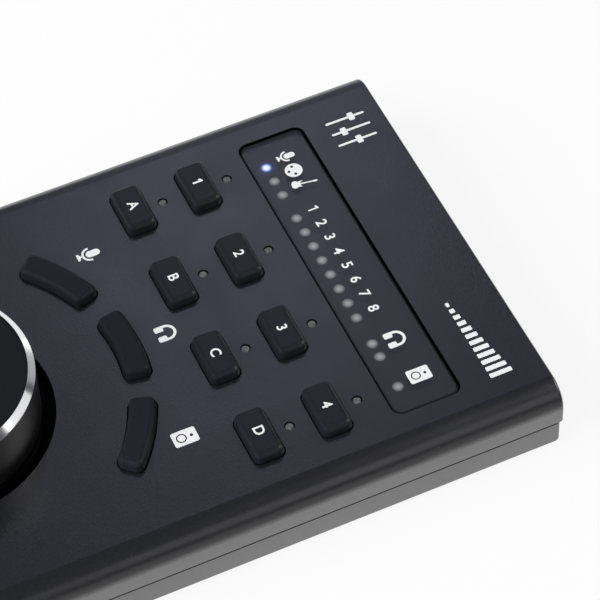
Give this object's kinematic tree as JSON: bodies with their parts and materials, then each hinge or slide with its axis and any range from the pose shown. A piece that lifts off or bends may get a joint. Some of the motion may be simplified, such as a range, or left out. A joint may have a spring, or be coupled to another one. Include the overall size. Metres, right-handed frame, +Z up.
{
  "type": "audio interface controller",
  "caption": "Low desktop controller with a large push-and-turn knob, rows of press keys, curved keys round the knob and a window of indicator lights.",
  "frame": {"origin": "on the desk under the middle of the case, level with the bottoms of the feet", "axes": "+X to the right of the user, +Y to the rear, away from the user, +Z up"},
  "size_m": [0.094, 0.1556, 0.0308],
  "materials": {
    "cover_coat": "satin black fine-grained coat on cast metal",
    "tray_coat": "satin black coat on cast metal",
    "smoked_panel": "smoked clear plastic, softly polished",
    "key_rubber": "matte moulded rubber with a soft sheen",
    "knob_black": "satin black anodised, turned",
    "knob_disc": "matte black anodised, faced",
    "knob_bright": "bright cut and polished",
    "carbon": "carbon filled, matte",
    "mat_silicone": "moulded silicone",
    "board_green": "glass-fibre board with solder mask",
    "pad_gold": "thin gold plating",
    "lens_frost": "frosted clear plastic",
    "lens_lit": "frosted clear plastic, lit from below",
    "lamp_white": "small surface lamp",
    "baffle_black": "matte black moulding",
    "moulded_black": "black moulded plastic",
    "steel": "plain turned and pressed steel",
    "screw_black": "black oxide",
    "bush_brass": "turned brass",
    "foot_rubber": "matte rubber"
  },
  "bodies": {
    "case": {"top_cover": "cover_coat", "bottom_tray": "tray_coat", "display_window": "smoked_panel", "window_mask": "baffle_black", "light_baffle": "baffle_black", "lit_diffuser": "lens_lit", "dark_diffusers": "lens_frost", "light_pipes": "lens_frost", "window_lamps": "lamp_white", "indicator_lamps": "lamp_white", "main_board": "board_green", "encoder_board": "board_green", "board_header": "moulded_black", "controller_chip": "moulded_black", "board_screws": "steel", "case_screws": "screw_black", "keypad_mat": "mat_silicone", "contact_pads": "pad_gold", "encoder_housing": "moulded_black", "encoder_bushing": "bush_brass", "encoder_washer": "steel", "encoder_nut": "steel", "push_dome": "steel", "socket_shell": "steel", "socket_tongue": "moulded_black", "foot_front_left": "foot_rubber", "foot_front_right": "foot_rubber", "foot_rear_left": "foot_rubber", "foot_rear_right": "foot_rubber"},
    "key_1_body": {"key_1": "key_rubber", "key_1_contact": "carbon"},
    "key_2_body": {"key_2": "key_rubber", "key_2_contact": "carbon"},
    "key_3_body": {"key_3": "key_rubber", "key_3_contact": "carbon"},
    "key_4_body": {"key_4": "key_rubber", "key_4_contact": "carbon"},
    "key_a_body": {"key_a": "key_rubber", "key_a_contact": "carbon"},
    "key_b_body": {"key_b": "key_rubber", "key_b_contact": "carbon"},
    "key_c_body": {"key_c": "key_rubber", "key_c_contact": "carbon"},
    "key_d_body": {"key_d": "key_rubber", "key_d_contact": "carbon"},
    "mic_key_body": {"mic_key": "key_rubber", "mic_key_contact": "carbon"},
    "headphone_key_body": {"headphone_key": "key_rubber", "headphone_key_contact": "carbon"},
    "speaker_key_body": {"speaker_key": "key_rubber", "speaker_key_contact": "carbon"},
    "push_stage": {"push_plunger": "moulded_black"},
    "knob": {"knob_shell": "knob_black", "knob_ring": "knob_bright", "knob_cap": "knob_disc", "encoder_shaft": "steel"}
  },
  "joints": [
    {"name": "key_1_press", "type": "slide", "parent": "case", "child": "key_1_body", "axis": [0, 0, -1], "range_m": [0, 0.0007], "stiffness_N_per_m": 900, "springref_m": -0.0006},
    {"name": "key_2_press", "type": "slide", "parent": "case", "child": "key_2_body", "axis": [0, 0, -1], "range_m": [0, 0.0007], "stiffness_N_per_m": 900, "springref_m": -0.0006},
    {"name": "key_3_press", "type": "slide", "parent": "case", "child": "key_3_body", "axis": [0, 0, -1], "range_m": [0, 0.0007], "stiffness_N_per_m": 900, "springref_m": -0.0006},
    {"name": "key_4_press", "type": "slide", "parent": "case", "child": "key_4_body", "axis": [0, 0, -1], "range_m": [0, 0.0007], "stiffness_N_per_m": 900, "springref_m": -0.0006},
    {"name": "key_a_press", "type": "slide", "parent": "case", "child": "key_a_body", "axis": [0, 0, -1], "range_m": [0, 0.0007], "stiffness_N_per_m": 900, "springref_m": -0.0006},
    {"name": "key_b_press", "type": "slide", "parent": "case", "child": "key_b_body", "axis": [0, 0, -1], "range_m": [0, 0.0007], "stiffness_N_per_m": 900, "springref_m": -0.0006},
    {"name": "key_c_press", "type": "slide", "parent": "case", "child": "key_c_body", "axis": [0, 0, -1], "range_m": [0, 0.0007], "stiffness_N_per_m": 900, "springref_m": -0.0006},
    {"name": "key_d_press", "type": "slide", "parent": "case", "child": "key_d_body", "axis": [0, 0, -1], "range_m": [0, 0.0007], "stiffness_N_per_m": 900, "springref_m": -0.0006},
    {"name": "mic_key_press", "type": "slide", "parent": "case", "child": "mic_key_body", "axis": [0, 0, -1], "range_m": [0, 0.0007], "stiffness_N_per_m": 900, "springref_m": -0.0006},
    {"name": "headphone_key_press", "type": "slide", "parent": "case", "child": "headphone_key_body", "axis": [0, 0, -1], "range_m": [0, 0.0007], "stiffness_N_per_m": 900, "springref_m": -0.0006},
    {"name": "speaker_key_press", "type": "slide", "parent": "case", "child": "speaker_key_body", "axis": [0, 0, -1], "range_m": [0, 0.0007], "stiffness_N_per_m": 900, "springref_m": -0.0006},
    {"name": "knob_push", "type": "slide", "parent": "case", "child": "push_stage", "axis": [0, 0, -1], "range_m": [0, 0.0005], "stiffness_N_per_m": 3000, "springref_m": -0.0007},
    {"name": "knob_turn", "type": "hinge", "parent": "push_stage", "child": "knob", "pos_m": [0, -0.03354, 0.0171], "axis": [0, 0, 1], "continuous": true}
  ]
}
